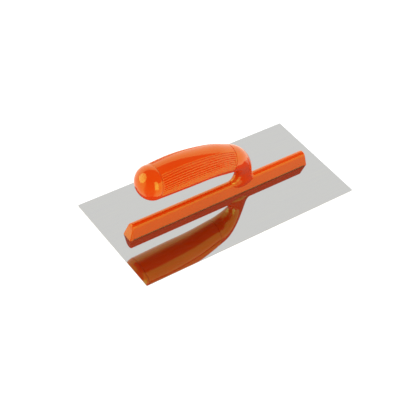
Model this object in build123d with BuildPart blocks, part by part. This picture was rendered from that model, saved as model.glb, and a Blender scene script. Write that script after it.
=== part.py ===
from build123d import *
from math import cos, radians, sin
import os

# Finishing trowel: a thin flat blade, stiffened by a moulded rail whose neck curves up and
# forward into a hand grip that lies over the rail. A bent steel tang runs through the handle.
# Frame: origin at the centre of the blade's underside, +X from the grip's free end towards
# the neck, +Y across the blade, +Z up. Millimetres and degrees.

# ---------------------------------------------------------------- driving dimensions
# Blade: one sheet of stainless steel.
BLADE_LENGTH = 280.0
BLADE_WIDTH = 130.0
BLADE_THICKNESS = 0.8
BLADE_CORNER = 1.0

# Steel backing strip, bonded to the blade's upper face under the rail.
FILM_THICKNESS = 0.15
STRIP_LENGTH = 234.0
STRIP_WIDTH = 12.8
STRIP_THICKNESS = 1.0

# Rail: the moulded foot of the handle. Its sides draw in upwards and its crest is round.
RAIL_LENGTH = 242.0
RAIL_WIDTH = 13.8
RAIL_HEIGHT = 17.2
RAIL_DRAFT = 9.5
RAIL_END_LEAN = 14.0
RAIL_EDGE = 1.2
RAIL_WALL = 1.9

# Cored cells in the rail's underside, in front of the neck and behind it, with a rib
# between each two, and the bosses that stand at some of those ribs.
CELL_PITCH = 19.0
RIB_THICKNESS = 2.0
CELL_DEPTH = 11.5
FRONT_CELLS_START = -116.5
FRONT_CELLS = 6
REAR_CELLS_START = 58.5
REAR_CELLS = 3
FRONT_CELL_RIBS = [FRONT_CELLS_START + CELL_PITCH * i for i in range(FRONT_CELLS + 1)]
REAR_CELL_RIBS = [REAR_CELLS_START + CELL_PITCH * i for i in range(REAR_CELLS + 1)]
BOSS_DIAMETER = 7.0

# Neck: stands on the rail, and the tang goes down through it.
NECK_X = 28.2

# Cross-sections are ellipses: place along X and Z, slope of the handle's run there
# (degrees below level, looking towards the neck), half width and half height.
GRIP_SECTIONS = (
    (-97.4, 69.0, 13, 19.2, 18.0),
    (-72.0, 69.3, 13, 19.7, 19.6),
    (-45.0, 67.4, 13, 18.9, 19.4),
    (-20.0, 63.8, 13, 17.2, 18.0),
    (2.0, 57.6, 8, 15.3, 16.1),
)
ELBOW_SECTIONS = (
    GRIP_SECTIONS[-1],
    (9.8, 54.6, 18, 14.6, 14.5),
    (16.1, 49.9, 28, 13.2, 13.2),
    (21.2, 44.0, 41, 11.3, 11.8),
    (24.7, 37.8, 55, 9.4, 11.0),
    (26.8, 32.4, 70, 7.9, 10.8),
    (28.0, 27.2, 84, 7.1, 11.0),
    (NECK_X, 20.0, 90, 6.6, 12.9),
    (NECK_X, 11.0, 90, 5.0, 17.0),
)

# End cap: a hollow half ellipsoid with a spigot in the grip's mouth.
CAP_DEPTH = 16.7
CAP_WALL = 3.2
CAP_RIM = 6.4
CAP_SPIGOT_DEPTH = 7.5
CAP_SPIGOT_STEP = 3.7

# Tang: bent round bar, riveted into a foot plate, threaded at its front end.
TANG_DIAMETER = 7.0
TANG_BEND = 24.0
TANG_TENON = 5.0
THREAD_DIAMETER = 6.0
THREAD_LENGTH = 13.0
FOOT_LENGTH = 40.0
FOOT_WIDTH = 9.2
FOOT_THICKNESS = 4.0
FOOT_CORNER = 1.5
TANG_END = 1.2

# Grip sleeve's inside: a tapered bore with a seat for the clamp washer at its mouth.
BORE_FRONT = 13.0
BORE_REAR = 11.0
SLEEVE_REAR_WALL = 12.0
SEAT_DEPTH = 12.0
SEAT_DIAMETER = 29.0
KEY_DEPTH = 5.0
KEY_STEP = 5.6

# Clamp parts on the tang's thread.
WASHER_DIAMETER = 28.4
WASHER_THICKNESS = 2.5
SPRING_DIAMETER = 11.8
SPRING_THICKNESS = 1.6
SPRING_GAP = 1.5
NUT_ACROSS_FLATS = 10.0
NUT_THICKNESS = 5.0

# Screws, driven up through the strip before it is bonded to the blade.
FOOT_SCREW_SPACING = 26.0
FOOT_SCREW_DIAMETER = 4.0
FOOT_SCREW_LENGTH = 4.8
STRIP_SCREW_X = (FRONT_CELL_RIBS[1], FRONT_CELL_RIBS[3], FRONT_CELL_RIBS[5], REAR_CELL_RIBS[2])
STRIP_SCREW_DIAMETER = 3.0
STRIP_SCREW_LENGTH = 9.0
COUNTERSINK_ANGLE = 90.0
SOCKET_DEPTH = 0.6
SOCKET_SIZE = 0.6

FIT = 0.1

# ---------------------------------------------------------------- worked-out places
BLADE_TOP = BLADE_THICKNESS
STRIP_UNDER = BLADE_TOP + FILM_THICKNESS
STRIP_TOP = STRIP_UNDER + STRIP_THICKNESS
FOOT_TOP = STRIP_TOP + FOOT_THICKNESS
FOOT_SCREW_X = (NECK_X - FOOT_SCREW_SPACING / 2, NECK_X + FOOT_SCREW_SPACING / 2)


def across(x, z, slope):
    """Plane across the handle: its normal runs towards the neck, its own Y points up."""
    normal = (cos(radians(slope)), 0, -sin(radians(slope)))
    return Plane(origin=(x, 0, z), x_dir=(0, 1, 0), z_dir=normal)


FRONT_SEAM = across(*GRIP_SECTIONS[0][:3])
REAR_SEAM = across(*GRIP_SECTIONS[-1][:3])
FRONT_HALF_WIDTH, FRONT_HALF_HEIGHT = GRIP_SECTIONS[0][3:]
REAR_HALF_WIDTH, REAR_HALF_HEIGHT = GRIP_SECTIONS[-1][3:]

# The tang's upper run is the straight line through the centres of the two seams.
TANG_FRONT = FRONT_SEAM.origin
TANG_RUN = (REAR_SEAM.origin - FRONT_SEAM.origin).normalized()
TANG_CORNER = TANG_FRONT + TANG_RUN * ((NECK_X - TANG_FRONT.X) / TANG_RUN.X)
TANG_LENGTH = (REAR_SEAM.origin - TANG_FRONT).length

# Stations of the clamp parts along the tang, from the front seam.
WASHER_FACE = SEAT_DEPTH - WASHER_THICKNESS
SPRING_FACE = WASHER_FACE - SPRING_THICKNESS
NUT_FACE = SPRING_FACE - NUT_THICKNESS


def along_tang(distance):
    """Plane square to the tang's upper run, this far from its front end."""
    return Plane(origin=TANG_FRONT + TANG_RUN * distance, x_dir=(0, 1, 0), z_dir=TANG_RUN)


def tang_rod(front, foot, diameter, mode=Mode.ADD):
    """Round bar from a place on the upper run, round the bend and down to a height."""
    with BuildLine() as route:
        FilletPolyline(along_tang(front).origin, TANG_CORNER, (NECK_X, 0, foot), radius=TANG_BEND)
    with BuildSketch(along_tang(front)) as section:
        Circle(diameter / 2)
    sweep(section.sketch, path=route.line, mode=mode)


def rail_outline():
    """Rail's cross-section in Y and Z: drawn-in sides, tangent to a round crest."""
    half = RAIL_WIDTH / 2
    draft = radians(RAIL_DRAFT)
    crest = (half * cos(draft) - RAIL_HEIGHT * sin(draft)) / (1 - sin(draft))
    shoulder = (crest * cos(draft), RAIL_HEIGHT - crest + crest * sin(draft))
    side = Line((half, 0), shoulder)
    top = ThreePointArc(shoulder, (0, RAIL_HEIGHT), (-shoulder[0], shoulder[1]))
    other_side = Line(top @ 1, (-half, 0))
    Line(other_side @ 1, side @ 0)


def screws(places, diameter, length):
    """Countersunk screws standing up from the strip's underside: thin head, shank, socket."""
    shank = diameter / 2
    under_head = STRIP_UNDER + STRIP_THICKNESS
    for x in places:
        with BuildSketch(Plane.XZ) as profile:
            with BuildLine():
                Polyline(
                    (x, STRIP_UNDER),
                    (x + shank + STRIP_THICKNESS, STRIP_UNDER),
                    (x + shank, under_head),
                    (x + shank, STRIP_UNDER + length),
                    (x, STRIP_UNDER + length),
                    close=True,
                )
            make_face()
        revolve(profile.sketch, axis=Axis((x, 0, 0), (0, 0, 1)))
    with BuildSketch(Plane.XY.offset(STRIP_UNDER)) as sockets:
        with Locations(*[(x, 0) for x in places]):
            RegularPolygon(radius=shank * SOCKET_SIZE, side_count=6)
    extrude(sockets.sketch, amount=SOCKET_DEPTH, mode=Mode.SUBTRACT)


def oval(half_width, half_height):
    """Ellipse whose outline always starts at its side, so that a loft through it can't twist."""
    scale(Circle(1, mode=Mode.PRIVATE), by=(half_width, half_height, 1), mode=Mode.ADD)


def half_ellipsoid(half_width, half_height, depth):
    """Half ellipsoid that stands on the XY plane and bulges down."""
    with BuildPart() as ball:
        Sphere(1)
        split(bisect_by=Plane.XY, keep=Keep.BOTTOM)
        scale(by=(half_width, half_height, depth))
    return ball.part


def grip_ellipse(step):
    """Ellipse that lies this far inside the section it is drawn on, at the front seam."""
    Ellipse(FRONT_HALF_WIDTH - step, FRONT_HALF_HEIGHT - step)


# ---------------------------------------------------------------- blade and its stiffener
with BuildPart() as blade:
    with BuildSketch():
        RectangleRounded(BLADE_LENGTH, BLADE_WIDTH, BLADE_CORNER)
    extrude(amount=BLADE_THICKNESS)

with BuildPart() as adhesive_film:
    with BuildSketch(Plane.XY.offset(BLADE_TOP)):
        Rectangle(STRIP_LENGTH, STRIP_WIDTH)
    extrude(amount=FILM_THICKNESS)

with BuildPart() as backing_strip:
    with BuildSketch(Plane.XY.offset(STRIP_UNDER)):
        Rectangle(STRIP_LENGTH, STRIP_WIDTH)
    extrude(amount=STRIP_THICKNESS)
    with Locations(Plane(origin=(0, 0, STRIP_UNDER), x_dir=(1, 0, 0), z_dir=(0, 0, -1))):
        for places, diameter in ((FOOT_SCREW_X, FOOT_SCREW_DIAMETER), (STRIP_SCREW_X, STRIP_SCREW_DIAMETER)):
            with Locations(*[(x, 0) for x in places]):
                hole = (diameter + FIT) / 2
                head = hole + STRIP_THICKNESS
                CounterSinkHole(radius=hole, counter_sink_radius=head, counter_sink_angle=COUNTERSINK_ANGLE)

with BuildPart() as foot_screws:
    screws(FOOT_SCREW_X, FOOT_SCREW_DIAMETER, FOOT_SCREW_LENGTH)

with BuildPart() as strip_screws:
    screws(STRIP_SCREW_X, STRIP_SCREW_DIAMETER, STRIP_SCREW_LENGTH)

# ---------------------------------------------------------------- tang and its foot
with BuildPart() as tang_foot:
    with BuildSketch(Plane.XY.offset(STRIP_TOP)):
        with Locations((NECK_X, 0)):
            RectangleRounded(FOOT_LENGTH, FOOT_WIDTH, FOOT_CORNER)
            Circle((TANG_TENON + FIT) / 2, mode=Mode.SUBTRACT)
        with Locations(*[(x, 0) for x in FOOT_SCREW_X]):
            Circle((FOOT_SCREW_DIAMETER + FIT) / 2, mode=Mode.SUBTRACT)
    extrude(amount=FOOT_THICKNESS)

with BuildPart() as tang:
    tang_rod(TANG_END, FOOT_TOP, TANG_DIAMETER)
    with BuildSketch(along_tang(TANG_END)):
        Circle(TANG_DIAMETER)
        Circle(THREAD_DIAMETER / 2, mode=Mode.SUBTRACT)
    extrude(amount=THREAD_LENGTH, mode=Mode.SUBTRACT)
    with BuildSketch(Plane.XY.offset(STRIP_TOP)):
        with Locations((NECK_X, 0)):
            Circle(TANG_TENON / 2)
    extrude(amount=FOOT_THICKNESS)

# ---------------------------------------------------------------- handle body
with BuildPart() as handle_body:
    # Rail, with its ends cut off leaning inwards and their edges rounded.
    with BuildSketch(Plane(origin=(-RAIL_LENGTH / 2, 0, BLADE_TOP), x_dir=(0, 1, 0), z_dir=(1, 0, 0))):
        with BuildLine():
            rail_outline()
        make_face()
    extrude(amount=RAIL_LENGTH)
    lean = radians(RAIL_END_LEAN)
    for side in (-1, 1):
        end = Plane(origin=(side * RAIL_LENGTH / 2, 0, BLADE_TOP), z_dir=(side * cos(lean), 0, sin(lean)))
        split(bisect_by=end, keep=Keep.BOTTOM)
    for end_face in (handle_body.faces().sort_by(Axis.X)[0], handle_body.faces().sort_by(Axis.X)[-1]):
        fillet(end_face.edges().sort_by(Axis.Z)[1:], RAIL_EDGE)

    # Neck and elbow.
    for x, z, slope, half_width, half_height in ELBOW_SECTIONS:
        with BuildSketch(across(x, z, slope)):
            oval(half_width, half_height)
    loft()

    # Oval key that stops the grip sleeve from turning.
    with BuildSketch(REAR_SEAM):
        Ellipse(REAR_HALF_WIDTH - KEY_STEP, REAR_HALF_HEIGHT - KEY_STEP)
    extrude(amount=-KEY_DEPTH)

    # Bed for the strip, open along both sides and closed by a lip at each end.
    with BuildSketch(Plane.XY.offset(BLADE_TOP)):
        Rectangle(STRIP_LENGTH + FIT, RAIL_WIDTH * 2)
    extrude(amount=STRIP_TOP - BLADE_TOP, mode=Mode.SUBTRACT)

    # Cored cells that narrow upwards, then the screw bosses on their ribs.
    for ribs in (FRONT_CELL_RIBS, REAR_CELL_RIBS):
        with BuildSketch(Plane.XY.offset(STRIP_TOP)):
            with Locations(*[(rib + CELL_PITCH / 2, 0) for rib in ribs[:-1]]):
                Rectangle(CELL_PITCH - RIB_THICKNESS, RAIL_WIDTH - 2 * RAIL_WALL)
        extrude(amount=CELL_DEPTH, taper=RAIL_DRAFT, mode=Mode.SUBTRACT)
    with BuildSketch(Plane.XY.offset(STRIP_TOP)):
        with Locations(*[(x, 0) for x in STRIP_SCREW_X]):
            Circle(BOSS_DIAMETER / 2)
    extrude(amount=CELL_DEPTH)
    with BuildSketch(Plane.XY.offset(STRIP_TOP)):
        with Locations(*[(x, 0) for x in STRIP_SCREW_X]):
            Circle((STRIP_SCREW_DIAMETER + FIT) / 2)
    extrude(amount=STRIP_SCREW_LENGTH, mode=Mode.SUBTRACT)

    # Pocket for the tang's foot and the bore for the tang.
    with BuildSketch(Plane.XY.offset(STRIP_TOP)):
        with Locations((NECK_X, 0)):
            RectangleRounded(FOOT_LENGTH + 2 * FIT, FOOT_WIDTH + 2 * FIT, FOOT_CORNER)
    extrude(amount=FOOT_THICKNESS, mode=Mode.SUBTRACT)
    tang_rod(TANG_LENGTH - SLEEVE_REAR_WALL, FOOT_TOP, TANG_DIAMETER + FIT, mode=Mode.SUBTRACT)

# ---------------------------------------------------------------- grip
with BuildPart() as grip_sleeve:
    for x, z, slope, half_width, half_height in GRIP_SECTIONS:
        with BuildSketch(across(x, z, slope)):
            oval(half_width, half_height)
    loft()
    # Mouth for the cap's spigot, seat for the clamp washer, tapered bore and tang hole.
    with BuildSketch(FRONT_SEAM):
        grip_ellipse(CAP_SPIGOT_STEP - FIT)
    extrude(amount=CAP_SPIGOT_DEPTH + FIT, mode=Mode.SUBTRACT)
    with BuildSketch(along_tang(-SEAT_DEPTH)):
        Circle(SEAT_DIAMETER / 2)
    extrude(amount=2 * SEAT_DEPTH, mode=Mode.SUBTRACT)
    for distance, radius in ((SEAT_DEPTH, BORE_FRONT), (TANG_LENGTH - SLEEVE_REAR_WALL, BORE_REAR)):
        with BuildSketch(along_tang(distance)):
            Circle(radius)
    loft(mode=Mode.SUBTRACT)
    with BuildSketch(along_tang(SEAT_DEPTH)):
        Circle((TANG_DIAMETER + FIT) / 2)
    extrude(amount=TANG_LENGTH, mode=Mode.SUBTRACT)
    # Oval socket for the handle body's key.
    with BuildSketch(REAR_SEAM):
        Ellipse(REAR_HALF_WIDTH - KEY_STEP + FIT, REAR_HALF_HEIGHT - KEY_STEP + FIT)
    extrude(amount=-KEY_DEPTH - FIT, mode=Mode.SUBTRACT)

dome = half_ellipsoid(FRONT_HALF_WIDTH, FRONT_HALF_HEIGHT, CAP_DEPTH)
hollow = half_ellipsoid(FRONT_HALF_WIDTH - CAP_RIM, FRONT_HALF_HEIGHT - CAP_RIM, CAP_DEPTH - CAP_WALL)
with BuildPart() as grip_end_cap:
    with Locations(FRONT_SEAM.location):
        add(dome)
    with BuildSketch(FRONT_SEAM):
        grip_ellipse(CAP_SPIGOT_STEP)
    extrude(amount=CAP_SPIGOT_DEPTH)
    with BuildSketch(FRONT_SEAM):
        grip_ellipse(CAP_RIM)
    extrude(amount=CAP_SPIGOT_DEPTH, mode=Mode.SUBTRACT)
    with Locations(FRONT_SEAM.location):
        add(hollow, mode=Mode.SUBTRACT)

# ---------------------------------------------------------------- clamp parts on the thread
with BuildPart() as clamp_washer:
    with BuildSketch(along_tang(WASHER_FACE)):
        Circle(WASHER_DIAMETER / 2)
        Circle((THREAD_DIAMETER + FIT) / 2, mode=Mode.SUBTRACT)
    extrude(amount=WASHER_THICKNESS)

with BuildPart() as spring_washer:
    with BuildSketch(along_tang(SPRING_FACE)):
        Circle(SPRING_DIAMETER / 2)
        Circle((THREAD_DIAMETER + FIT) / 2, mode=Mode.SUBTRACT)
        with Locations((SPRING_DIAMETER / 2, 0)):
            Rectangle(SPRING_DIAMETER, SPRING_GAP, mode=Mode.SUBTRACT)
    extrude(amount=SPRING_THICKNESS)

with BuildPart() as tang_nut:
    with BuildSketch(along_tang(NUT_FACE)):
        RegularPolygon(radius=NUT_ACROSS_FLATS / 2, side_count=6, major_radius=False)
        Circle((THREAD_DIAMETER + FIT) / 2, mode=Mode.SUBTRACT)
    extrude(amount=NUT_THICKNESS)

# ---------------------------------------------------------------- one file for each piece
PIECES = {
    "blade": blade,
    "adhesive_film": adhesive_film,
    "backing_strip": backing_strip,
    "foot_screws": foot_screws,
    "strip_screws": strip_screws,
    "tang_foot": tang_foot,
    "tang": tang,
    "handle_body": handle_body,
    "grip_sleeve": grip_sleeve,
    "grip_end_cap": grip_end_cap,
    "clamp_washer": clamp_washer,
    "spring_washer": spring_washer,
    "tang_nut": tang_nut,
}
os.makedirs("parts", exist_ok=True)
for name, piece in PIECES.items():
    piece.part.label = name
    export_step(piece.part, f"parts/{name}.step")
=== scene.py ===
from math import cos, pi, radians, sin

import bmesh
import bpy
import numpy as np
from mathutils import Matrix, Vector


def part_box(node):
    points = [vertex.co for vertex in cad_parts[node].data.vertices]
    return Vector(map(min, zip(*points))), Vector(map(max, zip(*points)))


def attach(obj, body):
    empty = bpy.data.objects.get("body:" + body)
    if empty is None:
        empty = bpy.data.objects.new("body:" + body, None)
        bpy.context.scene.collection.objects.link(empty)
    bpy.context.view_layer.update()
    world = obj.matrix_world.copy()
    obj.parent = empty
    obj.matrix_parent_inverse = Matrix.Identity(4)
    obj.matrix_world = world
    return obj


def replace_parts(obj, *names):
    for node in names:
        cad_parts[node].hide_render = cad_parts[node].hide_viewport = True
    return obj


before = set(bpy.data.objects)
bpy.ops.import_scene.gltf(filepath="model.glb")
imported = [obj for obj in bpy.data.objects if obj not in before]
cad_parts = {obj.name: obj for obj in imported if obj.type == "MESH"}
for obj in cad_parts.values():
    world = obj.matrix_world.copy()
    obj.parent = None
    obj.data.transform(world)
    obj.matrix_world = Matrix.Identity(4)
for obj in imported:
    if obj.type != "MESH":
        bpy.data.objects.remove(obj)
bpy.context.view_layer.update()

MM = 0.001

# ---------------------------------------------------------------- handle's dimensions
BLADE_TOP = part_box("blade")[1].z / MM
STRIP_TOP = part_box("backing_strip")[1].z / MM

RAIL_LENGTH = 242.0
RAIL_WIDTH = 13.8
RAIL_HEIGHT = 17.2
RAIL_DRAFT = radians(9.5)
RAIL_END_LEAN = radians(14.0)
RAIL_EDGE = 1.3
STRIP_BED = 234.1

# Where the rail's sides start above the strip, how far past the strip's bed each lip starts,
# and the power of x by which the ends' lean dies out.
SIDE_START = 1.0
LIP_START = 0.15
LEAN_POWER = 7

# Oval cross-sections from the grip's front seam to the neck: X, Z, slope of the run there
# in degrees below level, half width, half height.
SECTIONS = np.array((
    (-97.4, 69.0, 13, 19.2, 18.0),
    (-72.0, 69.3, 13, 19.7, 19.6),
    (-45.0, 67.4, 13, 18.9, 19.4),
    (-20.0, 63.8, 13, 17.2, 18.0),
    (2.0, 57.6, 8, 15.3, 16.1),
    (9.8, 54.6, 18, 14.6, 14.5),
    (16.1, 49.9, 28, 13.2, 13.2),
    (21.2, 44.0, 41, 11.3, 11.8),
    (24.7, 37.8, 55, 9.4, 11.0),
    (26.8, 32.4, 70, 7.9, 10.8),
    (28.0, 27.2, 84, 7.1, 11.0),
    (28.2, 23.5, 90, 6.8, 11.9),
))
REAR_SEAM_ROW = 4
NECK_X = 28.2

# Where the neck's foot runs out on the rail: shift along it, half length, reach over the
# rail's cross-section measured along it from the crest, slant of the foot's flanks there, and
# how far its edge goes on into the rail.
FOOT_SHIFT = -0.7
FOOT_HALF_LENGTH = 16.5
FOOT_REACH = 11.8
FOOT_SLANT = radians(40.0)
FOOT_SINK = 0.3

# Grip ribs: round ridges with sharp grooves between them, on both flanks. Angles are from
# the grip's top, lengths along it from a seam.
RIBS = 9
RIB_FIRST = radians(30.0)
RIB_LAST = radians(100.0)
RIB_MARGIN = 0.5
GROOVE_DEPTH = 0.8
BORDER_GROOVE = 1.35
SEAM_LAND = 0.7
GROOVE_RUN_OUT = 1.3
SEAM_ROUND = 0.3
SEAM_GAP = 0.15

# End cap, and the room behind its spigot.
CAP_DEPTH = 16.7
CAP_WALL = 3.2
CAP_RIM = 6.4
CAP_SPIGOT_STEP = 3.7
CAP_SPIGOT_DEPTH = 7.5
SPIGOT_ROOM = 1.0

# Key between grip and elbow, and the bores, all on the line through the two seams' centres.
KEY_DEPTH = 5.0
KEY_STEP = 5.6
FIT = 0.1
TANG_RADIUS = 3.55
TANG_BEND = 24.0
SEAT_RADIUS = 14.5
SEAT_DEPTH = 12.0
BORE_FRONT = 13.0
BORE_REAR = 11.0
REAR_WALL = 12.0
NECK_BORE_Z = 14.0

# How many points or rows each surface has.
EDGE_ROWS = 6
RIB_POINTS = 8
GRIP_TOP_POINTS = 23
GRIP_UNDER_POINTS = 47
GRIP_ROWS = 120
CAP_POINTS = 161
CAP_ROWS = 49
CAP_HOLLOW_ROWS = 17
CREST_POINTS = 33
SIDE_POINTS = 14
RAIL_END_ROWS = 7
RAIL_ROWS = 75
NECK_POINTS = 145
ELBOW_ROWS = 70
FOOT_ROWS = 25
BORE_ROWS = 24

# Points nearer than this are one, and edges sharper than this stay sharp.
MERGE = 0.002
SHARP = radians(35)


# ---------------------------------------------------------------- building surfaces
def smooth_curve(knots, values, at):
    """Natural cubic spline through values at knots, read at the places in at. Between two
    knots it is the cubic whose second derivative runs straight from one end's to the other's;
    equal slopes on both sides of each knot give those second derivatives."""
    gap = np.diff(knots)
    slope = np.diff(values, axis=0) / gap[:, None]
    count = len(knots)
    system = np.eye(count)
    inner = np.arange(1, count - 1)
    system[inner, inner - 1] = gap[:-1]
    system[inner, inner] = 2 * (gap[:-1] + gap[1:])
    system[inner, inner + 1] = gap[1:]
    right = np.zeros_like(values)
    right[inner] = 6 * np.diff(slope, axis=0)
    bend = np.linalg.solve(system, right)
    i = np.clip(np.searchsorted(knots, at, side="right") - 1, 0, count - 2)
    left = (at - knots[i])[:, None]
    rest = (knots[i + 1] - at)[:, None]
    wide = gap[i][:, None]
    ends = (bend[i] * rest**3 + bend[i + 1] * left**3) / (6 * wide)
    low = (values[i] / wide - bend[i] * wide / 6) * rest
    high = (values[i + 1] / wide - bend[i + 1] * wide / 6) * left
    return ends + low + high


RUN = np.concatenate(([0.0], np.cumsum(np.hypot(*np.diff(SECTIONS[:, :2], axis=0).T))))


def handle_section(run):
    """Centre, upward direction, half width and half height at distances along the handle."""
    x, z, slope, half_width, half_height = smooth_curve(RUN, SECTIONS, run).T
    lean = np.radians(slope)
    centre = np.stack((x, 0 * x, z), axis=-1)
    up = np.stack((np.sin(lean), 0 * x, np.cos(lean)), axis=-1)
    return centre, up, half_width, half_height


def oval_rings(centre, up, half_width, half_height, turn):
    """Rings of the ellipse: centre + up * half height * cos(turn) + Y * half width * sin(turn)."""
    side = np.array((0.0, 1.0, 0.0))
    high = (half_height[:, None] * np.cos(turn))[..., None] * up[:, None, :]
    wide = (half_width[:, None] * np.sin(turn))[..., None] * side
    return centre[:, None, :] + high + wide


def make_piece(name, shells, material):
    """One mesh from closed shells. Each shell is a stack of rings, joined row to row and round
    each ring. A shell whose first and last rings are given as one point closes on poles;
    one marked as a loop joins its last ring to its first."""
    points, faces = [], []
    start = 0
    for rings, loop in shells:
        rows, around, _ = rings.shape
        index = start + np.arange(rows * around).reshape(rows, around)
        below = index if loop else index[:-1]
        above = np.roll(index, -1, axis=0) if loop else index[1:]
        quads = np.stack((below, np.roll(below, -1, 1), np.roll(above, -1, 1), above), axis=-1)
        faces.append(quads.reshape(-1, 4))
        points.append(rings.reshape(-1, 3))
        start += rows * around
    mesh = bpy.data.meshes.new(name)
    mesh.from_pydata((np.concatenate(points) * MM).tolist(), [], np.concatenate(faces).tolist())
    return finish_mesh(name, mesh, material)


def finish_mesh(name, mesh, material):
    """Merges poles and seams, drops faces that have collapsed to a line, shades smoothly
    except over edges sharper than SHARP, and puts the piece on the root body."""
    work = bmesh.new()
    work.from_mesh(mesh)
    bmesh.ops.remove_doubles(work, verts=work.verts, dist=MERGE * MM)
    bmesh.ops.dissolve_degenerate(work, edges=work.edges, dist=MERGE * MM)
    bmesh.ops.recalc_face_normals(work, faces=work.faces)
    work.to_mesh(mesh)
    work.free()
    mesh.materials.append(material)
    mesh.shade_smooth()
    mesh.set_sharp_from_angle(angle=SHARP)
    piece = bpy.data.objects.new(name, mesh)
    bpy.context.scene.collection.objects.link(piece)
    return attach(piece, "root")


def pole(ring):
    """A ring shrunk to its own centre."""
    return np.broadcast_to(ring.mean(axis=0), ring.shape)


def seam_axis(up):
    """Square to a section, towards the neck."""
    return np.array((up[2], 0.0, -up[0]))


def seam_rings(seam, offsets, half_widths, half_heights, turn):
    """Ovals parallel to one seam, at offsets from it towards the neck."""
    middle, up, _, _ = seam
    centres = middle + np.asarray(offsets, float)[:, None] * seam_axis(up)
    ups = np.broadcast_to(up, centres.shape)
    half_widths = np.asarray(half_widths, float)
    half_heights = np.asarray(half_heights, float)
    return oval_rings(centres, ups, half_widths, half_heights, turn)


def drawn_in(rings, up, half_width, half_height, turn, depth):
    """Rings moved in by depth, square to their oval: the oval's normal is
    up * cos(turn) / half height + Y * sin(turn) / half width, made unit long."""
    high = (np.cos(turn) / half_height[:, None])[..., None] * up[:, None, :]
    wide = (np.sin(turn) / half_width[:, None])[..., None] * np.array((0.0, 1.0, 0.0))
    normal = high + wide
    normal /= np.linalg.norm(normal, axis=-1, keepdims=True)
    return rings - depth[..., None] * normal


# A quarter round at a seam's edge: distance from the seam, and how far the edge is drawn in.
# Each piece stops a hair short of the seam, which leaves a fine dark gap.
EDGE_BEND = np.linspace(0, pi / 2, EDGE_ROWS)
EDGE_RUN = SEAM_GAP + SEAM_ROUND * (1 - np.cos(EDGE_BEND))
EDGE_DRAW = SEAM_ROUND * (1 - np.sin(EDGE_BEND))

# The two seams, each as centre, upward direction, half width and half height.
FRONT_SEAM = [value[0] for value in handle_section(RUN[:1])]
REAR_SEAM = [value[0] for value in handle_section(RUN[REAR_SEAM_ROW:REAR_SEAM_ROW + 1])]


# ---------------------------------------------------------------- the tang's line
TANG_LENGTH = np.linalg.norm(REAR_SEAM[0] - FRONT_SEAM[0])
TANG_RUN = (REAR_SEAM[0] - FRONT_SEAM[0]) / TANG_LENGTH
TANG_FALL = np.arcsin(-TANG_RUN[2])
BEND_TURN = pi / 2 - TANG_FALL
BEND_START = (NECK_X - FRONT_SEAM[0][0]) / TANG_RUN[0] - TANG_BEND * np.tan(BEND_TURN / 2)
BEND_END = BEND_START + TANG_BEND * BEND_TURN
BEND_END_Z = FRONT_SEAM[0][2] + TANG_RUN[2] * BEND_START - TANG_BEND * cos(TANG_FALL)


def bore_rings(distance, radius, turn):
    """Circles square to the tang at distances along it from the front seam: down the straight
    upper run, round the bend, then straight down the neck."""
    distance = np.asarray(distance, float)
    radius = np.broadcast_to(np.asarray(radius, float), distance.shape)
    straight = np.minimum(distance, BEND_START)
    down = np.maximum(distance - BEND_END, 0)
    fall = TANG_FALL + np.clip((distance - BEND_START) / TANG_BEND, 0, BEND_TURN)
    x = FRONT_SEAM[0][0] + TANG_RUN[0] * straight + TANG_BEND * (np.sin(fall) - sin(TANG_FALL))
    z = FRONT_SEAM[0][2] + TANG_RUN[2] * straight - TANG_BEND * (cos(TANG_FALL) - np.cos(fall))
    z = z - down
    centre = np.stack((x, 0 * x, z), axis=-1)
    up = np.stack((np.sin(fall), 0 * x, np.cos(fall)), axis=-1)
    return oval_rings(centre, up, radius, radius, turn)


# ---------------------------------------------------------------- grip sleeve
def rib_turns():
    """Angles round the grip, dense over the ribbed flanks, and the place across the ribs
    there counted in ribs. Off the flanks the place is one that has no groove."""
    place = np.linspace(-RIB_MARGIN, RIBS + RIB_MARGIN, RIB_POINTS * (RIBS + 1) + 1)
    flank = RIB_FIRST + place * (RIB_LAST - RIB_FIRST) / RIBS
    top = np.linspace(-flank[0], flank[0], GRIP_TOP_POINTS)[1:-1]
    under = np.linspace(flank[-1], 2 * pi - flank[-1], GRIP_UNDER_POINTS)[1:-1]
    turn = np.concatenate((top, flank, under, 2 * pi - flank[::-1]))
    plain = np.full(len(turn), RIB_MARGIN)
    plain[len(top):len(top) + len(flank)] = place
    plain[len(turn) - len(flank):] = place[::-1]
    return turn, plain


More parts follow.
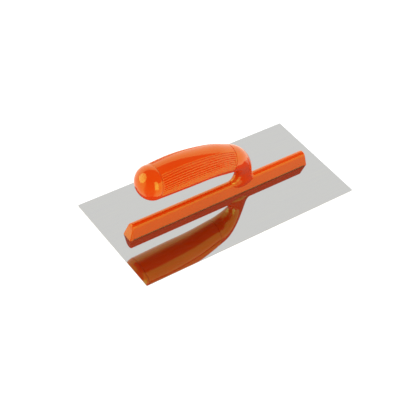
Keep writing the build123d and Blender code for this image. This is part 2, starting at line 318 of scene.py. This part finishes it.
def grip_sleeve(material):
    """Outside: the smooth ovals, drawn in by grooves of depth 1 - |sin(pi * place)| and by a
    quarter round at both seams. The lowest groove, which borders the ribs, is deeper. Inside:
    key socket, tang hole, tapered bore, washer seat and mouth, back to the front seam."""
    length = RUN[REAR_SEAM_ROW]
    middle = np.linspace(EDGE_RUN[-1], length - EDGE_RUN[-1], GRIP_ROWS)[1:-1]
    run = np.concatenate((EDGE_RUN, middle, length - EDGE_RUN[::-1]))
    rounding = np.concatenate((EDGE_DRAW, 0 * middle, EDGE_DRAW[::-1]))
    turn, place = rib_turns()
    groove = 1 - np.abs(np.sin(pi * place))
    groove *= np.where(place > RIBS - RIB_MARGIN, BORDER_GROOVE, 1.0)
    fade = np.clip((np.minimum(run, length - run) - SEAM_LAND) / GROOVE_RUN_OUT, 0, 1)
    fade = fade * fade * (3 - 2 * fade)
    depth = GROOVE_DEPTH * fade[:, None] * groove + rounding[:, None]
    centre, up, half_width, half_height = handle_section(run)
    outside = oval_rings(centre, up, half_width, half_height, turn)
    outside = drawn_in(outside, up, half_width, half_height, turn, depth)

    socket = seam_rings(REAR_SEAM, (-SEAM_GAP, -KEY_DEPTH), (REAR_SEAM[2] - KEY_STEP,) * 2,
                        (REAR_SEAM[3] - KEY_STEP,) * 2, turn)
    bore_end = TANG_LENGTH - REAR_WALL
    spigot_end = CAP_SPIGOT_DEPTH + FIT
    bores = bore_rings(
        (TANG_LENGTH - KEY_DEPTH, bore_end, bore_end, SEAT_DEPTH, SEAT_DEPTH, spigot_end + SPIGOT_ROOM),
        (TANG_RADIUS, TANG_RADIUS, BORE_REAR, BORE_FRONT, SEAT_RADIUS, SEAT_RADIUS),
        turn,
    )
    mouth_step = CAP_SPIGOT_STEP - FIT
    mouth = seam_rings(FRONT_SEAM, (spigot_end, SEAM_GAP), (FRONT_SEAM[2] - mouth_step,) * 2,
                       (FRONT_SEAM[3] - mouth_step,) * 2, turn)
    shell = np.concatenate((outside, socket, bores, mouth))
    piece = make_piece("grip_sleeve_moulding", [(shell, True)], material)
    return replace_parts(piece, "grip_sleeve")


# ---------------------------------------------------------------- grip end cap
def grip_end_cap(material):
    """A half ellipsoid in front of the seam, rounded where it meets the sleeve, with a spigot
    behind the seam and a smaller ellipsoid as its hollow inside."""
    turn = np.linspace(0, 2 * pi, CAP_POINTS)[:-1]
    _, _, half_width, half_height = FRONT_SEAM
    latitude = np.linspace(0, pi / 2, CAP_ROWS)[:-2]
    share = np.sin(latitude)
    dome = seam_rings(FRONT_SEAM, -CAP_DEPTH * np.cos(latitude),
                      half_width * share, half_height * share, turn)
    edge = seam_rings(FRONT_SEAM, -EDGE_RUN[::-1],
                      half_width - EDGE_DRAW[::-1], half_height - EDGE_DRAW[::-1], turn)
    inward = np.array((CAP_SPIGOT_STEP, CAP_SPIGOT_STEP, CAP_RIM))
    spigot = seam_rings(FRONT_SEAM, (-SEAM_GAP, CAP_SPIGOT_DEPTH, CAP_SPIGOT_DEPTH),
                        half_width - inward, half_height - inward, turn)
    latitude = np.linspace(pi / 2, 0, CAP_HOLLOW_ROWS)
    share = np.sin(latitude)
    hollow = seam_rings(FRONT_SEAM, -(CAP_DEPTH - CAP_WALL) * np.cos(latitude),
                        (half_width - CAP_RIM) * share, (half_height - CAP_RIM) * share, turn)
    shell = np.concatenate((dome, edge, spigot, hollow))
    piece = make_piece("grip_cap_moulding", [(shell, False)], material)
    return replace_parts(piece, "grip_end_cap")


# ---------------------------------------------------------------- rail
CREST = (RAIL_WIDTH / 2 * cos(RAIL_DRAFT) - RAIL_HEIGHT * sin(RAIL_DRAFT)) / (1 - sin(RAIL_DRAFT))
CREST_Z = BLADE_TOP + RAIL_HEIGHT - CREST


def rail_surface(reach):
    """Y and Z on the rail's cross-section and its outward normal there, at a distance from
    the crest's top along it: round the crest's arc, then straight down the drawn-in side."""
    side = np.sign(reach)
    quarter = pi / 2 - RAIL_DRAFT
    bend = np.minimum(np.abs(reach) / CREST, quarter)
    down = np.maximum(np.abs(reach) - CREST * quarter, 0)
    y = side * (CREST * np.sin(bend) + down * sin(RAIL_DRAFT))
    z = CREST_Z + CREST * np.cos(bend) - down * cos(RAIL_DRAFT)
    return y, z, side * np.sin(bend), np.cos(bend)


def rail_ring(x, lean, foot, inset=0.0):
    """The rail's cross-section as a ring: up one side from the height foot, over the crest,
    down the other side. Each point lies at x - lean * its height above the blade, and the
    outline is drawn in by inset."""
    arc = np.linspace(RAIL_DRAFT, pi - RAIL_DRAFT, CREST_POINTS)
    radius = CREST - inset
    crest = np.stack((radius * np.cos(arc), CREST_Z + radius * np.sin(arc)), axis=-1)
    height = np.linspace(STRIP_TOP + SIDE_START, crest[0, 1], SIDE_POINTS)[:-1]
    height = np.concatenate(([foot], height))
    side = np.stack((crest[0, 0] + (crest[0, 1] - height) * np.tan(RAIL_DRAFT), height), axis=-1)
    outline = np.concatenate((side, crest, side[::-1] * (-1, 1)))
    along = x - lean * (outline[:, 1] - BLADE_TOP)
    return np.concatenate((along[:, None], outline), axis=1)


def rail_shell():
    """Rings from end to end. The end faces lean in and their edges are quarter rounds. Under
    the rail, between its two lips, it stands on the strip. The lean dies out towards the
    middle as x to the power LEAN_POWER."""
    full_lean = np.tan(RAIL_END_LEAN)
    bed = STRIP_BED / 2
    rear_end = [rail_ring(bed + LIP_START, full_lean, BLADE_TOP)]
    for bend in np.linspace(pi / 2, 0, RAIL_END_ROWS):
        along = RAIL_LENGTH / 2 - RAIL_EDGE * (1 - cos(bend))
        inset = RAIL_EDGE * (1 - sin(bend))
        rear_end.append(rail_ring(along, full_lean, BLADE_TOP, inset))
    rear_end.append(pole(rear_end[-1]))
    front_end = [ring[::-1] * (-1, -1, 1) for ring in rear_end[::-1]]
    middle = []
    for x in np.linspace(-bed, bed, RAIL_ROWS):
        middle.append(rail_ring(x, full_lean * (x / bed)**LEAN_POWER, STRIP_TOP))
    return np.array(front_end + middle + rear_end)


# ---------------------------------------------------------------- neck and elbow
def neck_shell():
    """The elbow's ovals carry on as a foot that spreads over the rail. Each of the foot's
    lines is a cubic that leaves the neck in line with it and lands on the rail, level with its
    surface in front and behind, slanting into it on the flanks. The shell closes inside
    through the tang's bore and the key that stands in the grip's socket."""
    turn = np.linspace(0, 2 * pi, NECK_POINTS)[:-1]
    elbow_run = np.linspace(RUN[REAR_SEAM_ROW] + EDGE_RUN[-1], RUN[-1], ELBOW_ROWS)[1:]
    run = np.concatenate((RUN[REAR_SEAM_ROW] + EDGE_RUN, elbow_run))
    rounding = np.concatenate((EDGE_DRAW, 0 * elbow_run))[:, None] + 0 * turn
    centre, up, half_width, half_height = handle_section(run)
    elbow = oval_rings(centre, up, half_width, half_height, turn)
    elbow = drawn_in(elbow, up, half_width, half_height, turn, rounding)

    reach = FOOT_REACH * np.sin(turn)
    along = FOOT_HALF_LENGTH * np.cos(turn)
    y, z, normal_y, normal_z = rail_surface(reach)
    landing = np.stack((NECK_X + FOOT_SHIFT + along, y, z), axis=-1)
    normal = np.stack((0 * y, normal_y, normal_z), axis=-1)
    outward = np.stack((along, reach * normal_z, -reach * normal_y), axis=-1)
    outward /= np.linalg.norm(outward, axis=1, keepdims=True)
    slant = FOOT_SLANT * np.sin(turn)[:, None]**2
    arrive = outward * np.cos(slant) - normal * np.sin(slant)
    leave = elbow[-1] - elbow[-2]
    leave /= np.linalg.norm(leave, axis=1, keepdims=True)
    span = np.linalg.norm(landing - elbow[-1], axis=1, keepdims=True)
    share = np.linspace(0, 1, FOOT_ROWS)[1:, None, None]
    foot = (2 * share**3 - 3 * share**2 + 1) * elbow[-1] + (3 * share**2 - 2 * share**3) * landing
    foot += (share**3 - 2 * share**2 + share) * leave * span
    foot += (share**3 - share**2) * arrive * span
    sunk = (landing - normal * FOOT_SINK)[None]

    bore_foot = BEND_END + BEND_END_Z - NECK_BORE_Z
    bore = bore_rings(np.linspace(bore_foot, TANG_LENGTH - KEY_DEPTH, BORE_ROWS), TANG_RADIUS, turn)
    key = seam_rings(REAR_SEAM, (-KEY_DEPTH + FIT, SEAM_GAP), (REAR_SEAM[2] - KEY_STEP - FIT,) * 2,
                     (REAR_SEAM[3] - KEY_STEP - FIT,) * 2, turn)
    return np.concatenate((elbow, foot, sunk, bore, key))


def handle_body(material):
    """Rail, neck and elbow: one moulding, the neck's shell standing in the rail's."""
    piece = make_piece("handle_moulding", [(rail_shell(), False), (neck_shell(), True)], material)
    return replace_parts(piece, "handle_body")


# ---------------------------------------------------------------- materials
def paint(hex_colour):
    """An sRGB hex colour as linear red, green, blue and alpha."""
    channels = np.array([int(hex_colour[i:i + 2], 16) for i in (1, 3, 5)]) / 255
    linear = np.where(channels <= 0.04045, channels / 12.92, ((channels + 0.055) / 1.055)**2.4)
    return (*linear.tolist(), 1.0)


def add(tree, kind, inputs=None, **settings):
    """Adds a node. settings are its own properties. inputs are its sockets by name or number,
    each given a plain value or linked from another node's output."""
    node = tree.nodes.new(kind)
    for name, value in settings.items():
        setattr(node, name, value)
    for name, value in (inputs or {}).items():
        if isinstance(value, bpy.types.NodeSocket):
            tree.links.new(value, node.inputs[name])
        else:
            node.inputs[name].default_value = value
    return node


def start_material(name):
    """An empty material, its node tree and the object's own coordinates in metres."""
    material = bpy.data.materials.new(name)
    material.use_nodes = True
    tree = material.node_tree
    tree.nodes.clear()
    return material, tree, add(tree, "ShaderNodeTexCoord").outputs["Object"]


# A noise stays near its middle, so it is read from the first of these to the second.
NOISE_LOW = 0.3
NOISE_HIGH = 0.7


def pattern(tree, place, size, stretch=(1, 1, 1), detail=2.0):
    """Noise whose lumps are size millimetres across, longer along an axis by stretch."""
    scale = [1 / (size * MM * factor) for factor in stretch]
    spread = add(tree, "ShaderNodeMapping", {"Vector": place, "Scale": scale}, vector_type="POINT")
    inputs = {"Vector": spread.outputs[0], "Scale": 1.0, "Detail": detail}
    return add(tree, "ShaderNodeTexNoise", inputs).outputs["Fac"]


def tinted(tree, noise, low, high):
    """A colour that goes with a noise from one hex colour to another."""
    inputs = {"Value": noise, "From Min": NOISE_LOW, "From Max": NOISE_HIGH}
    share = add(tree, "ShaderNodeMapRange", inputs).outputs["Result"]
    inputs = {"Factor": share, "A": paint(low), "B": paint(high)}
    return add(tree, "ShaderNodeMix", inputs, data_type="RGBA").outputs["Result"]


def wear(tree, place, size, low, high, stretch=(1, 1, 1), detail=2.0):
    """Roughness that goes between low and high over lumps size millimetres across."""
    noise = pattern(tree, place, size, stretch, detail)
    inputs = {"Value": noise, "From Min": NOISE_LOW, "From Max": NOISE_HIGH, "To Min": low, "To Max": high}
    return add(tree, "ShaderNodeMapRange", inputs).outputs["Result"]


def surface(tree, inputs, relief=None, depth=0.0):
    """The finished surface, with everything that is the same all over set on its sockets. A
    relief has its real depth in millimetres."""
    shader = add(tree, "ShaderNodeBsdfPrincipled", inputs)
    if relief is not None:
        bump = add(tree, "ShaderNodeBump", {"Height": relief, "Distance": depth * MM, "Strength": 1.0})
        tree.links.new(bump.outputs["Normal"], shader.inputs["Normal"])
    add(tree, "ShaderNodeOutputMaterial", {"Surface": shader.outputs["BSDF"]})


def moulded_orange():
    """Polypropylene, injection moulded in a polished tool. Saturated orange right through,
    with a gloss that keeps the shape of a lamp but softens its edges, and the faint waviness
    of a thick moulding as it shrinks. The red base and the yellow green tint of its
    reflections make the orange together, so that bright reflections don't pale it."""
    material, tree, place = start_material("polypropylene_orange_polished_mould")
    surface(tree, {
        "Base Color": tinted(tree, pattern(tree, place, 22.0), "#de3100", "#e23500"),
        "Roughness": wear(tree, place, 5.0, 0.07, 0.11, detail=4.0),
        "IOR": 1.6,
        "Specular IOR Level": 1.0,
        "Specular Tint": paint("#88ef60"),
    }, relief=pattern(tree, place, 9.0, detail=1.0), depth=0.015)
    return material


def rolled_stainless():
    """Stainless spring steel, cold rolled bright. A grey mirror with rolling lines along its
    length. The real ones are 0.05 mm apart, too fine to show, so they are drawn 0.8 mm wide,
    and still barely show. A trace of matt haze lifts the mirror's darkest reflections."""
    material, tree, place = start_material("stainless_steel_cold_rolled_bright")
    lines = pattern(tree, place, 0.8, stretch=(60, 1, 1), detail=3.0)
    surface(tree, {
        "Base Color": tinted(tree, lines, "#bababa", "#bdbdb9"),
        "Metallic": 0.993,
        "Roughness": wear(tree, place, 35.0, 0.02, 0.04, stretch=(2, 1, 1)),
    }, relief=lines, depth=0.00004)
    return material


def plated_steel(name, low, high, roughness, grain):
    """Steel with a plated or drawn finish: a dull mirror, grey or yellow brown, with small lumps. On the
    backing strip the yellow brown is warmed to orange as painted shade and painted reflection of the
    orange rail above it."""
    material, tree, place = start_material(name)
    lumps = pattern(tree, place, grain, detail=3.0)
    surface(tree, {
        "Base Color": tinted(tree, lumps, low, high),
        "Metallic": 1.0,
        "Roughness": wear(tree, place, grain * 4, roughness - 0.05, roughness + 0.05),
    }, relief=lumps, depth=0.01)
    return material


def cured_adhesive():
    """Structural epoxy, squeezed out and cured: brown, half glossy, with small ripples."""
    material, tree, place = start_material("epoxy_adhesive_cured")
    ripples = pattern(tree, place, 1.5)
    surface(tree, {
        "Base Color": tinted(tree, ripples, "#8f5a38", "#a0683f"),
        "Roughness": 0.45,
    }, relief=ripples, depth=0.03)
    return material


def studio_white():
    """White melamine board, matt. A little light of its own keeps it free of shadows."""
    material, tree, place = start_material("melamine_white_matt")
    surface(tree, {
        "Base Color": tinted(tree, pattern(tree, place, 2.0), "#f4f4f4", "#f8f8f8"),
        "Roughness": 0.9,
        "Emission Color": paint("#ffffff"),
        "Emission Strength": FLOOR_GLOW,
    })
    return material


# ---------------------------------------------------------------- studio
WARM = "#fffaee"
NEUTRAL = "#ffffff"
FLOOR_GLOW = 0.3
FLOOR_HALF = 4000.0
FLOOR_DROP = 0.2
FLOOR_LINES = 9

# The walls' full brightness, and each wall's azimuth and stops. A stop is a place up the wall,
# as height over distance, its share of the full brightness and its colour.
WALL_RADIANCE = 1.5
BACK_WALL = radians(50.0), (
    (-1.0, 0.08, WARM), (-0.75, 0.95, WARM), (0.45, 1.0, WARM), (0.68, 0.95, WARM),
    (0.80, 0.80, NEUTRAL), (1.17, 0.80, NEUTRAL), (1.21, 0.10, WARM), (2, 0.18, WARM),
)
NEAR_WALL = radians(-80.0), (
    (-1.0, 0.08, WARM), (-0.75, 0.60, WARM), (0, 0.80, WARM), (0.30, 1.05, WARM),
    (0.70, 1.10, WARM), (0.76, 0.12, WARM), (2, 0.18, WARM),
)
FRONT_WALL = radians(130.0), ((0, 0.9, WARM), (0.5, 0.8, WARM), (0.7, 0.12, WARM), (2, 0.18, WARM))
NEAREST = 0.001

# The dim room opposite the walls, its stops by the height of the direction, and how far from
# the walls' middle azimuth it begins and is complete.
ROOM = (0, 0.25, WARM), (0.5, 0.20, WARM), (0.8, 0.14, WARM), (1, 0.18, WARM)
WALLS_MIDDLE = radians(35.0)
ROOM_BEGINS = radians(138.0)
ROOM_COMPLETE = radians(160.0)

# The even fill: its full brightness and its stops by the height of the direction.
FILL = 1.3
TENT = (0, 1.0, NEUTRAL), (0.3, 0.95, NEUTRAL), (0.7, 0.85, NEUTRAL)

# Softboxes: azimuth, elevation, width and height in degrees, brightness, shape.
SOFTBOXES = {
    "softbox_square": (-107, 24, 26, 50, 2.2, "RECTANGLE"),
    "softbox_round": (146, 22, 46, 46, 2.2, "ELLIPSE"),
}
SOFTBOX_DISTANCE = 1.3
SOFTBOX_AIM = Vector((0, 0, 0.05))


def direction(azimuth, elevation):
    """Unit vector at an azimuth from +X towards +Y and an elevation above the floor."""
    return Vector((cos(elevation) * cos(azimuth), cos(elevation) * sin(azimuth), sin(elevation)))


def floor(material):
    """A square sheet just under the blade, as a grid. It shows to the camera, and neither
    reflections nor matt surfaces see it."""
    edge = np.linspace(-FLOOR_HALF, FLOOR_HALF, FLOOR_LINES)
    x, y = np.meshgrid(edge, edge, indexing="ij")
    points = np.stack((x, y, np.full_like(x, -FLOOR_DROP)), axis=-1).reshape(-1, 3) * MM
    index = np.arange(len(points)).reshape(x.shape)
    quads = np.stack((index[:-1, :-1], index[1:, :-1], index[1:, 1:], index[:-1, 1:]), axis=-1)
    mesh = bpy.data.meshes.new("floor")
    mesh.from_pydata(points.tolist(), [], quads.reshape(-1, 4).tolist())
    mesh.materials.append(material)
    table = bpy.data.objects.new("floor", mesh)
    bpy.context.scene.collection.objects.link(table)
    table.visible_diffuse = False
    table.visible_glossy = False


def softbox(name, azimuth, elevation, width, height, radiance, shape):
    """A lamp that shows as a shape of one brightness: its width and height are angles seen
    from the handle, and its power is pi * area * radiance. Only glossy surfaces see it."""
    lamp = bpy.data.lights.new(name, "AREA")
    lamp.shape = shape
    lamp.size = 2 * SOFTBOX_DISTANCE * np.tan(radians(width) / 2)
    lamp.size_y = 2 * SOFTBOX_DISTANCE * np.tan(radians(height) / 2)
    area = lamp.size * lamp.size_y * (pi / 4 if shape == "ELLIPSE" else 1)
    lamp.energy = pi * area * radiance
    lamp.color = paint(WARM)[:3]
    stand = bpy.data.objects.new(name, lamp)
    away = direction(radians(azimuth), radians(elevation))
    stand.location = SOFTBOX_AIM + SOFTBOX_DISTANCE * away
    stand.rotation_euler = away.to_track_quat("Z", "Y").to_euler()
    stand.visible_camera = False
    stand.visible_diffuse = False
    bpy.context.scene.collection.objects.link(stand)


def brightness(tree, value, stops):
    """A colour ramp over values from -2 to 2. Each stop is a value, a brightness and a colour."""
    place = add(tree, "ShaderNodeMapRange", {"Value": value, "From Min": -2.0, "From Max": 2.0})
    ramp = add(tree, "ShaderNodeValToRGB", {"Fac": place.outputs["Result"]})
    elements = ramp.color_ramp.elements
    while len(elements) < len(stops):
        elements.new(0.5)
    for element, (place, share, colour) in zip(elements, stops):
        element.position = (place + 2) / 4
        element.color = [share * channel for channel in paint(colour)[:3]] + [1]
    return ramp.outputs["Color"]


def wall(tree, ray, rise, azimuth, stops):
    """A flat wall square to an azimuth. Its brightness goes by height over distance, so that
    its edges are straight and level."""
    square = {0: ray, 1: direction(azimuth, 0)}
    far = add(tree, "ShaderNodeVectorMath", square, operation="DOT_PRODUCT").outputs["Value"]
    far = add(tree, "ShaderNodeMath", {0: far, 1: NEAREST}, operation="MAXIMUM").outputs[0]
    height = add(tree, "ShaderNodeMath", {0: rise, 1: far}, operation="DIVIDE").outputs[0]
    return brightness(tree, height, stops)


def studio_light():
    """Brightness by direction. Reflections see a bright wall behind the tool, two lower bright
    walls beside it and a dim room opposite, with the brightest wall wherever two overlap. Matt
    surfaces are lit by an even fill instead, as by a white tent, and the camera sees that same
    plain fill as its background."""
    world = bpy.data.worlds.new("studio")
    bpy.context.scene.world = world
    world.use_nodes = True
    tree = world.node_tree
    tree.nodes.clear()
    ray = add(tree, "ShaderNodeTexCoord").outputs["Generated"]
    rise = add(tree, "ShaderNodeSeparateXYZ", {0: ray}).outputs["Z"]
    walls = wall(tree, ray, rise, *BACK_WALL)
    for side in (NEAR_WALL, FRONT_WALL):
        both = {"Factor": 1.0, "A": walls, "B": wall(tree, ray, rise, *side)}
        walls = add(tree, "ShaderNodeMix", both, data_type="RGBA", blend_type="LIGHTEN").outputs["Result"]

    flat = add(tree, "ShaderNodeVectorMath", {0: ray, 1: (1, 1, 0)}, operation="MULTIPLY")
    level = add(tree, "ShaderNodeVectorMath", {0: flat.outputs[0]}, operation="NORMALIZE")
    middle = {0: level.outputs[0], 1: direction(WALLS_MIDDLE, 0)}
    turned = add(tree, "ShaderNodeVectorMath", middle, operation="DOT_PRODUCT").outputs["Value"]
    edges = {"Value": turned, "From Min": cos(ROOM_COMPLETE), "From Max": cos(ROOM_BEGINS)}
    share = add(tree, "ShaderNodeMapRange", edges, interpolation_type="SMOOTHSTEP").outputs["Result"]
    both = {"Factor": share, "A": brightness(tree, rise, ROOM), "B": walls}
    colour = add(tree, "ShaderNodeMix", both, data_type="RGBA").outputs["Result"]

    shown = add(tree, "ShaderNodeBackground", {"Color": colour, "Strength": WALL_RADIANCE})
    tent = brightness(tree, rise, TENT)
    fill = add(tree, "ShaderNodeBackground", {"Color": tent, "Strength": FILL})
    path = add(tree, "ShaderNodeLightPath").outputs
    seen = {0: path["Is Camera Ray"], 1: path["Diffuse Depth"]}
    plain = add(tree, "ShaderNodeMath", seen, operation="MAXIMUM")
    lights = {0: plain.outputs[0], 1: shown.outputs[0], 2: fill.outputs[0]}
    light = add(tree, "ShaderNodeMixShader", lights)
    add(tree, "ShaderNodeOutputWorld", {"Surface": light.outputs[0]})
    world.cycles.sampling_method = "NONE"


CAMERA_PLACE = -0.59038, -0.603155, 0.806215
CAMERA_AZIMUTH = radians(-43.017)
CAMERA_ELEVATION = radians(43.98)
CAMERA_ROLL = radians(9.585)
CAMERA_LENS = 96.25


def studio_camera():
    """A long lens from the grip's free end and one side, looking down at 44 degrees."""
    level, roll = cos(CAMERA_ELEVATION), CAMERA_ROLL
    back = Vector((sin(CAMERA_AZIMUTH) * level, -cos(CAMERA_AZIMUTH) * level, sin(CAMERA_ELEVATION)))
    right = Vector((0, 0, 1)).cross(back).normalized()
    up = back.cross(right)
    turned = (cos(roll) * right + sin(roll) * up, cos(roll) * up - sin(roll) * right, back)
    data = bpy.data.cameras.new("studio_camera")
    data.sensor_width = 36
    data.lens = CAMERA_LENS
    data.clip_start = 0.01
    camera = bpy.data.objects.new("studio_camera", data)
    camera.matrix_world = Matrix.Translation(CAMERA_PLACE) @ Matrix(turned).transposed().to_4x4()
    bpy.context.scene.collection.objects.link(camera)
    bpy.context.scene.camera = camera
    bpy.context.scene.view_settings.view_transform = "Standard"


# ---------------------------------------------------------------- the tool
def finish_node(name, material):
    """Gives a CAD node its finish."""
    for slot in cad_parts[name].material_slots:
        slot.material = material


orange = moulded_orange()
for piece in (grip_sleeve(orange), grip_end_cap(orange), handle_body(orange)):
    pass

plated = plated_steel("zinc_plated_steel", "#b9bbbd", "#c9cacc", 0.35, 0.8)
drawn = plated_steel("mild_steel_bright_drawn", "#9a9b9d", "#adaeb0", 0.28, 0.6)
finish_node("blade", rolled_stainless())
finish_node("adhesive_film", cured_adhesive())
# The strip's yellow passivation is warmed to orange brown: painted shade and painted reflection of the
# orange rail's lower edge.
strip_finish_painted_shade = plated_steel("steel_strip_yellow_passivated_painted_shade", "#e09058", "#eca068", 0.4, 1.2)
finish_node("backing_strip", strip_finish_painted_shade)
for name in ("tang", "tang_foot"):
    finish_node(name, drawn)
for name in ("foot_screws", "strip_screws", "clamp_washer", "spring_washer", "tang_nut"):
    finish_node(name, plated)

floor(studio_white())
studio_light()
for name, settings in SOFTBOXES.items():
    softbox(name, *settings)
studio_camera()
